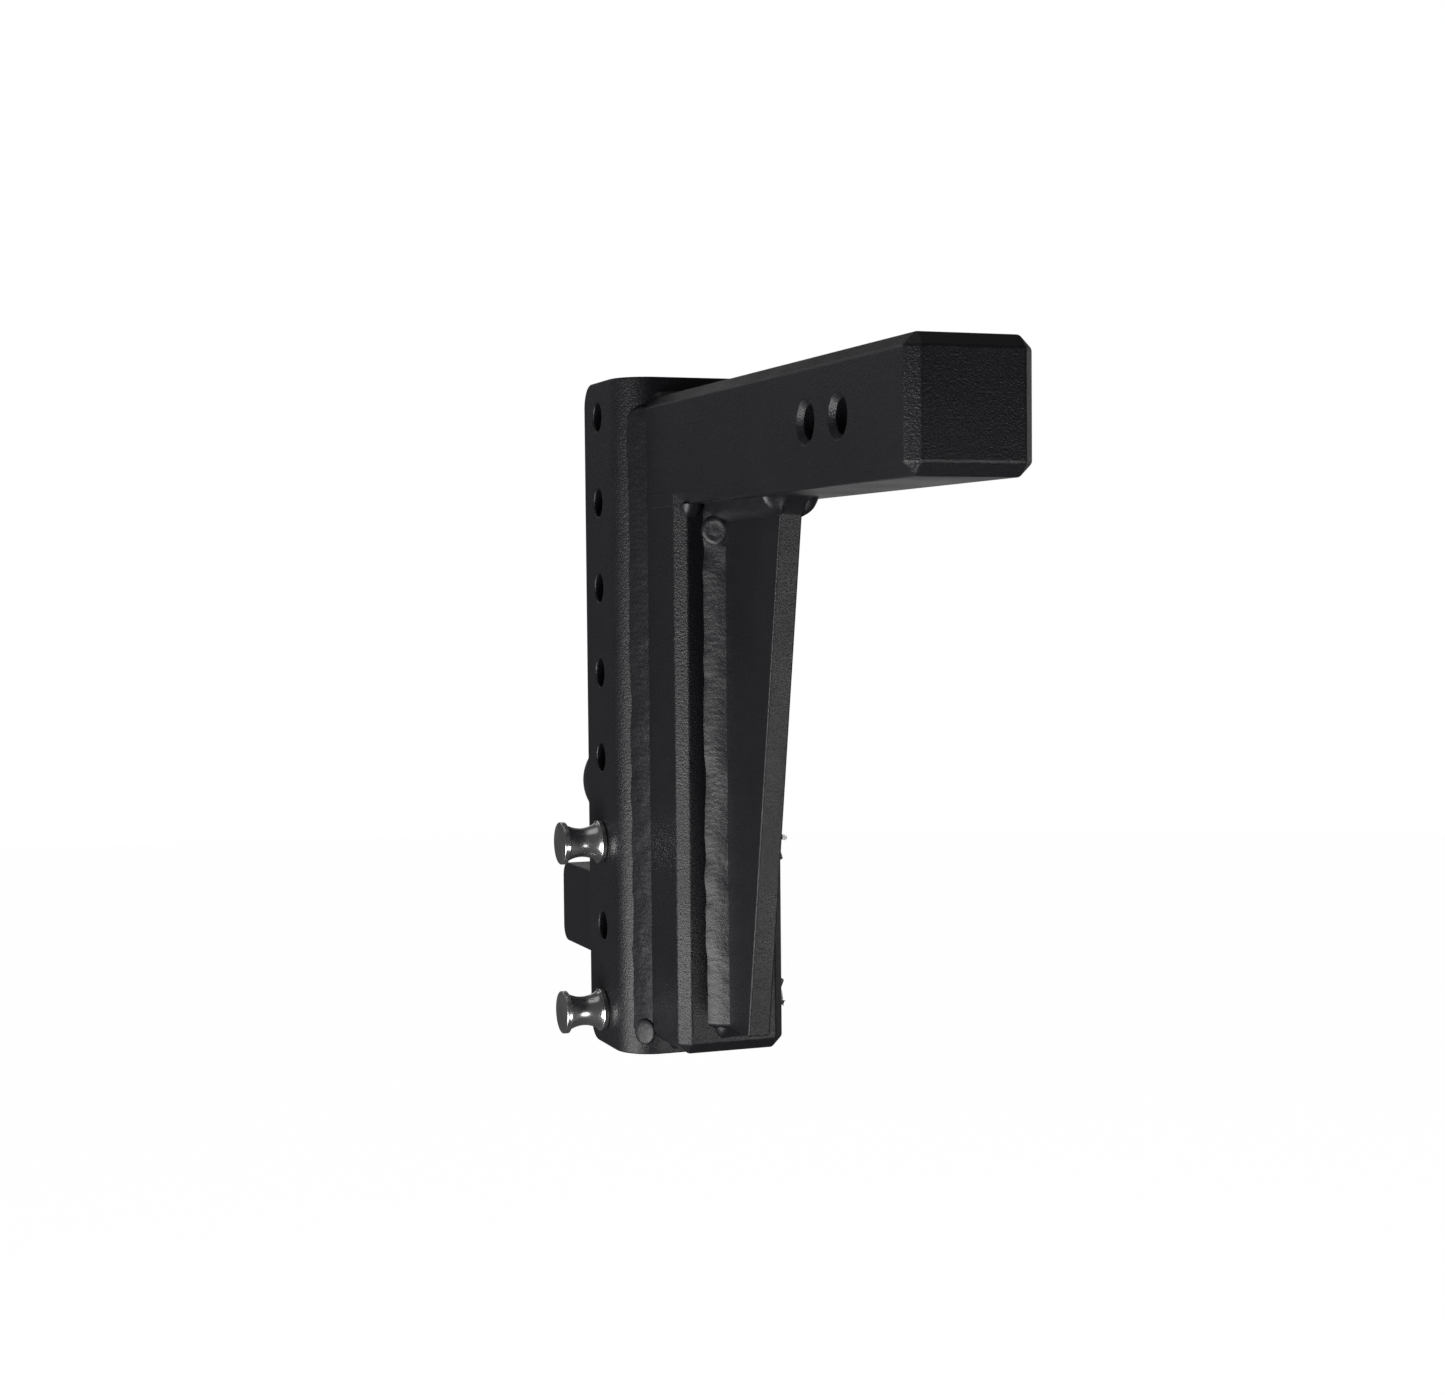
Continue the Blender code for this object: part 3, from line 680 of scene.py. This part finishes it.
def make_gusset_end_beads(coat):
    """Beads across the gusset's front under the shank, and across its lower end."""
    wide = HALF_GUSSET + 2 * MM
    item = bead("gusset_front_bead", coat, (GUSSET_FRONT_TOP + 1 * MM, UNDER_SHANK), (-1, -1),
                -wide, wide, "X", (20 * MM, 9 * MM), bulge=-0.24, seed=10.0, end_length=3 * MM)
    stands_for(item, "gusset_front_weld")
    wide = HALF_GUSSET + 5 * MM
    item = bead("gusset_bottom_bead", coat, (RISER_LOW.y, GUSSET_LOW.z), (-1, -1), -wide, wide,
                "X", (8 * MM, 7 * MM), seed=11.0)
    stands_for(item, "gusset_bottom_weld")


def make_welds(coat):
    sides = ((-1, "left"), (1, "right"))
    for side, word in sides:
        item = channel_bead("channel_bead_" + word, coat, side, side * 1.3)
        stands_for(item, "channel_weld_" + word)
    make_bar_beads(coat)
    for side, word in sides:
        make_gusset_beads(coat, side, word)
        make_side_fill(coat, side, word)
        place = (side * 35.2 * MM, WEB - 4.2 * MM, RISER_LOW.z + 5.0 * MM)
        joins_hitch(weld_stop("channel_bead_end_" + word, coat, place, (side * 0.85, -0.52, 0),
                              7.6 * MM, 1.3 * MM, crater=0.12, seed=20 + side))
    make_gusset_end_beads(coat)
    wide, leg = BLOCK_HIGH.x - 1 * MM, 7.6 * MM
    for word, z, sign in (("top", PLATFORM_HIGH.z, 1), ("bottom", PLATFORM_LOW.z, -1)):
        item = bead("platform_bead_" + word, coat, (PLATFORM_LOW.y, z), (1, sign), -wide, wide,
                    "X", (leg, leg), seed=12.0 + sign)
        stands_for(item, "platform_weld_" + word)


# ---------------------------------------------------------------- pins, clips, balls

def arc_profile(x, r, radius, start, end, steps=5):
    """(along, radius) points of a rounded rim."""
    return [(x + dx, r + dr) for dx, dr in arc((0, 0), radius, start, end, steps)]


def pin_profile(head, wall, tip, radius):
    """Spool head from head to wall, then the plain shaft with a chamfered tip."""
    shaft = PIN_SHAFT_RADIUS
    waist, rim, lip, ease = 8.6 * MM, 3.3 * MM, 0.6 * MM, 0.3 * MM
    spool = radius - 1.2 * MM
    nose, nose_ease = 2.2 * MM, 1.6 * MM
    steps = 30
    near, far = head + rim, wall - rim
    profile = [(head, 0), (head, radius - lip)]
    profile += arc_profile(head + lip, radius - lip, lip, 180, 90)
    profile += [(near - ease, radius), (near, radius - ease)]
    for i in range(steps + 1):
        t = i / steps
        depth = math.sin(math.pi * t) ** 0.8
        profile.append((near + (far - near) * t, spool - (spool - waist) * depth))
    profile += [(far + 0.1 * MM, radius - 0.5 * MM), (far + 0.6 * MM, radius)]
    profile += arc_profile(wall - lip, radius - lip, lip, 90, 0)
    profile += [(wall, shaft), (tip - nose, shaft), (tip - nose_ease, shaft - ease),
                (tip - ease, shaft - nose_ease), (tip, shaft - nose), (tip, 0)]
    return profile


def make_pin(name, node, steel, z):
    """Spool-headed pin, turned in one piece, with a cross hole for its clip."""
    low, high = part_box(node)
    profile = pin_profile(low.x, -HALF_CHANNEL - 0.3 * MM, high.x, (high.z - low.z) / 2)
    pin = new_object(name, turned(profile, "X", (HOLE_Y, z), 72), steel)
    sharpen(pin, 40)
    clip_x = sum(corner.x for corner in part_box(node.replace("pin", "clip"))) / 2
    reach, hole_radius = PIN_SHAFT_RADIUS + 2 * MM, 2.1 * MM
    hole = [(HOLE_Y - reach, 0), (HOLE_Y - reach, hole_radius), (HOLE_Y + reach, hole_radius),
            (HOLE_Y + reach, 0)]
    cut(pin, [turned(hole, "Y", (clip_x, z), 24)], even_normals=False)
    stands_for(pin, node, node)


def smooth_line(points, per_span):
    """Catmull-Rom curve through the points."""
    ends = [points[0]] + points + [points[-1]]
    result = []
    for i in range(1, len(ends) - 2):
        p0, p1, p2, p3 = (Vector(p) for p in ends[i - 1:i + 3])
        for k in range(per_span):
            t = k / per_span
            result.append(0.5 * ((2 * p1) + (p2 - p0) * t + (2 * p0 - 5 * p1 + 4 * p2 - p3) * t * t
                                 + (3 * p1 - p0 - 3 * p2 + p3) * t ** 3))
    result.append(Vector(points[-1]))
    return result


def make_clip(name, node, steel, z, side):
    """R-shaped spring clip: a leg through the pin, a loop behind it, a waved leg over it."""
    clip_x = sum(corner.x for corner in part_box(node)) / 2
    leg_tip, leg_step, leg_points = -27 * MM, 4.5 * MM, 10
    leg = [(leg_step * i + leg_tip, 0) for i in range(leg_points)]
    loop = arc((25 * MM, 4 * MM), 6.5 * MM, 232, 490, 14)
    crest = PIN_SHAFT_RADIUS + CLIP_WIRE_RADIUS + 0.9 * MM
    shoulder, shoulder_up = 7.5 * MM, 0.90 * crest
    dip, dip_up = 11.5 * MM, 6.6 * MM
    over = [(15.5 * MM, 7.2 * MM), (dip, dip_up), (shoulder, shoulder_up), (0, crest),
            (-shoulder, shoulder_up), (-dip, dip_up), (-15.5 * MM, 9 * MM),
            (-19.5 * MM, 13.5 * MM)]
    route = [(clip_x, HOLE_Y + y, z + side * up) for y, up in leg + loop + over]
    curve = bpy.data.curves.new(name, "CURVE")
    curve.dimensions = "3D"
    curve.bevel_depth = CLIP_WIRE_RADIUS
    curve.bevel_resolution = 5
    curve.use_fill_caps = True
    spline = curve.splines.new("POLY")
    points = smooth_line(route, 4)
    spline.points.add(len(points) - 1)
    for point, place in zip(spline.points, points):
        point.co = (*place, 1.0)
    spline.use_smooth = True
    curve.materials.append(steel)
    clip = bpy.data.objects.new(name, curve)
    bpy.context.scene.collection.objects.link(clip)
    stands_for(clip, node, node)


def ball_arc(centre, radius, low_angle, high_angle, steps):
    """(along, radius) points of a ball; angles are latitudes in degrees."""
    angles = [math.radians(low_angle + (high_angle - low_angle) * i / steps)
              for i in range(steps + 1)]
    return [(centre + radius * math.sin(a), radius * math.cos(a)) for a in angles]


def make_upper_ball(black):
    """Upper towing ball with its neck, its seat and the stud through the platform."""
    low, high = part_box("upper_ball")
    radius, neck, flange = (high.x - low.x) / 2, 17.5 * MM, 24.5 * MM
    stud, stud_chamfer, fillet = 12.7 * MM, 1.5 * MM, 3.5 * MM
    centre = PLATFORM_HIGH.z + 55.4 * MM
    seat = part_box("upper_lock_washer")[1].z + 0.3 * MM
    top = seat + 9.0 * MM
    flat_latitude = 74
    profile = [(low.z, 0), (low.z, stud - stud_chamfer), (low.z + stud_chamfer, stud),
               (seat, stud), (seat, flange - 0.5 * MM), (seat + 0.6 * MM, flange),
               (top - 1.4 * MM, flange), (top - 0.4 * MM, flange - 0.4 * MM),
               (top, flange - 1.2 * MM)]
    profile += arc_profile(top + fillet, neck + fillet, fillet, 180, 270, 6)
    profile += ball_arc(centre, radius, -math.degrees(math.acos(neck / radius)),
                        flat_latitude, 40)
    profile += [(profile[-1][0] + 0.02 * MM, 0)]
    ball = new_object("upper_towing_ball", turned(profile, "Z", (0, BALL_Y), 96), black)
    sharpen(ball, 40)
    stands_for(ball, "upper_ball")


def make_lower_ball(black):
    """Lower towing ball, screwed on the upper ball's stud."""
    radius, neck, flange, fillet = 25.4 * MM, 17.0 * MM, 23.5 * MM, 2.5 * MM
    centre = PLATFORM_LOW.z - 39.0 * MM
    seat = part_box("lower_lock_washer")[0].z - 0.3 * MM
    base = seat - 7.0 * MM
    stud_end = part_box("upper_ball")[0].z
    flat_latitude = -72
    profile = [(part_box("lower_ball")[0].z, 0)]
    profile += ball_arc(centre, radius, flat_latitude, math.degrees(math.acos(neck / radius)), 34)
    profile += arc_profile(base - fillet, neck + fillet, fillet, 270, 360)
    profile += [(base, flange - 1.0 * MM), (base + 0.4 * MM, flange - 0.3 * MM),
                (base + 1.0 * MM, flange), (seat - 0.5 * MM, flange),
                (seat, flange - 0.5 * MM), (seat, STUD_HOLE_RADIUS),
                (stud_end - 2 * MM, STUD_HOLE_RADIUS), (stud_end - 6 * MM, 0)]
    ball = new_object("lower_towing_ball", turned(profile, "Z", (0, BALL_Y), 96), black)
    sharpen(ball, 40)
    stands_for(ball, "lower_ball")


def make_washer(name, node, steel):
    """Split lock washer: a flat ring with a gap and a slight helical step at it."""
    low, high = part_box(node)
    inner, outer, edge, rise = 13.4 * MM, (high.x - low.x) / 2, 0.4 * MM, 0.5 * MM
    thick = high.z - low.z - rise
    gap_at, gap, steps = 200, 5.0, 90
    section = [(inner, 0), (outer - edge, 0), (outer, edge), (outer, thick - edge),
               (outer - edge, thick), (inner, thick)]
    loops = []
    for i in range(steps + 1):
        share = i / steps
        a = math.radians(gap_at + gap / 2 + (360 - gap) * share)
        base = low.z + rise * share
        loops.append([(r * math.cos(a), BALL_Y + r * math.sin(a), base + h) for r, h in section])
    bm = bmesh.new()
    loft(bm, loops)
    washer = new_object(name, bm, steel)
    sharpen(washer, 35)
    stands_for(washer, node)


# ---------------------------------------------------------------- stage

def make_camera():
    cos_p, sin_p = math.cos(CAMERA_PITCH), math.sin(CAMERA_PITCH)
    ahead = Vector((math.sin(CAMERA_YAW) * cos_p, math.cos(CAMERA_YAW) * cos_p, sin_p))
    right = Vector((math.cos(CAMERA_YAW), -math.sin(CAMERA_YAW), 0))
    up = right.cross(ahead)
    cos_r, sin_r = math.cos(CAMERA_ROLL), math.sin(CAMERA_ROLL)
    rolled_right = right * cos_r + up * sin_r
    rolled_up = -right * sin_r + up * cos_r
    turn = Matrix((rolled_right, rolled_up, -ahead)).transposed().to_4x4()
    data = bpy.data.cameras.new("camera")
    data.lens = CAMERA_LENS
    data.clip_end = 60
    camera = bpy.data.objects.new("camera", data)
    camera.matrix_world = Matrix.Translation(CAMERA_PLACE) @ turn
    bpy.context.scene.collection.objects.link(camera)
    bpy.context.scene.camera = camera


def area_light(name, place, size, power):
    """Soft light that faces the middle of the hitch."""
    data = bpy.data.lights.new(name, "AREA")
    data.shape = "RECTANGLE"
    data.size, data.size_y = size
    data.energy = power
    light = bpy.data.objects.new(name, data)
    light.location = place
    aim = Vector(LIT_MIDDLE) - Vector(place)
    light.rotation_euler = aim.to_track_quat("-Z", "Y").to_euler()
    light.visible_camera = False
    bpy.context.scene.collection.objects.link(light)


def glow_material(name, glow, diffuse):
    """Matt white that also glows evenly."""
    material, _, _, shader = new_material(name)
    shader.inputs["Base Color"].default_value = (diffuse, diffuse, diffuse, 1)
    shader.inputs["Roughness"].default_value = 0.9
    shader.inputs["Specular IOR Level"].default_value = 0.0
    shader.inputs["Emission Color"].default_value = (1, 1, 1, 1)
    shader.inputs["Emission Strength"].default_value = glow
    return material


def make_backdrop():
    """Pale floor and an even pale surround, seen by the camera but not lighting the part."""
    bm = bmesh.new()
    bmesh.ops.create_circle(bm, cap_ends=True, segments=96, radius=STAGE_RADIUS)
    floor = new_object("floor", bm, glow_material("pale_floor", 0.97, 0.3))
    floor.location = FLOOR_PLACE
    floor.visible_glossy = False
    floor.visible_diffuse = False
    bm = bmesh.new()
    bmesh.ops.create_uvsphere(bm, u_segments=64, v_segments=32, radius=STAGE_RADIUS)
    surround = new_object("surround", bm, glow_material("pale_surround", 1.0, 0.0))
    surround.visible_glossy = False
    surround.visible_diffuse = False
    surround.visible_shadow = False
    surround.visible_transmission = False


def make_lighting():
    """A dim even world and six soft lights; sizes and places in metres, power in watts."""
    world = bpy.data.worlds.new("studio")
    world.use_nodes = True
    background = world.node_tree.nodes["Background"]
    background.inputs["Color"].default_value = (0.95, 0.95, 1.0, 1)
    background.inputs["Strength"].default_value = 0.075
    bpy.context.scene.world = world
    area_light("left_low_soft", place=(-1.30, 0.00, -0.80), size=(1.3, 0.8), power=23)
    area_light("front_low_soft", place=(0.67, -1.26, -0.92), size=(0.8, 0.6), power=9.5)
    area_light("back_soft", place=(1.0, 2.4, -0.1), size=(2.0, 2.2), power=5.5)
    area_light("back_left_high_soft", place=(-1.0, 2.3, 1.0), size=(1.2, 1.0), power=2.2)
    area_light("right_back_soft", place=(2.1, 1.3, 0.0), size=(1.2, 1.2), power=2.2)
    area_light("overhead_soft", place=(-0.3, 0.3, 2.2), size=(1.8, 1.8), power=3.5)
    bpy.context.scene.view_settings.view_transform = "Standard"


def main():
    coat = powder_coat("powder_coated_steel", 0.85, 0.32, 1.0)
    weld_coat = powder_coat("powder_coated_weld", 0.40, 0.45, 1.15)
    stainless = turned_steel("turned_stainless", (0.80, 0.80, 0.79), 0.21)
    wire = drawn_wire("spring_wire", (0.60, 0.60, 0.62), 0.22)
    plated = drawn_wire("plated_washer", (0.46, 0.46, 0.47), 0.32)
    black = coated_ball("black_ball")
    make_camera()
    make_backdrop()
    make_lighting()
    make_channel(coat)
    make_shank(coat)
    make_riser(coat)
    make_gusset(coat)
    make_mount_block(coat)
    make_platform(coat)
    make_welds(weld_coat)
    make_upper_ball(black)
    make_lower_ball(black)
    make_washer("upper_split_washer", "upper_lock_washer", plated)
    make_washer("lower_split_washer", "lower_lock_washer", plated)
    make_pin("upper_spool_pin", "upper_pin", stainless, UPPER_PIN_Z)
    make_pin("lower_spool_pin", "lower_pin", stainless, LOWER_PIN_Z)
    make_clip("upper_spring_clip", "upper_clip", wire, UPPER_PIN_Z, -1)
    make_clip("lower_spring_clip", "lower_clip", wire, LOWER_PIN_Z, 1)


main()
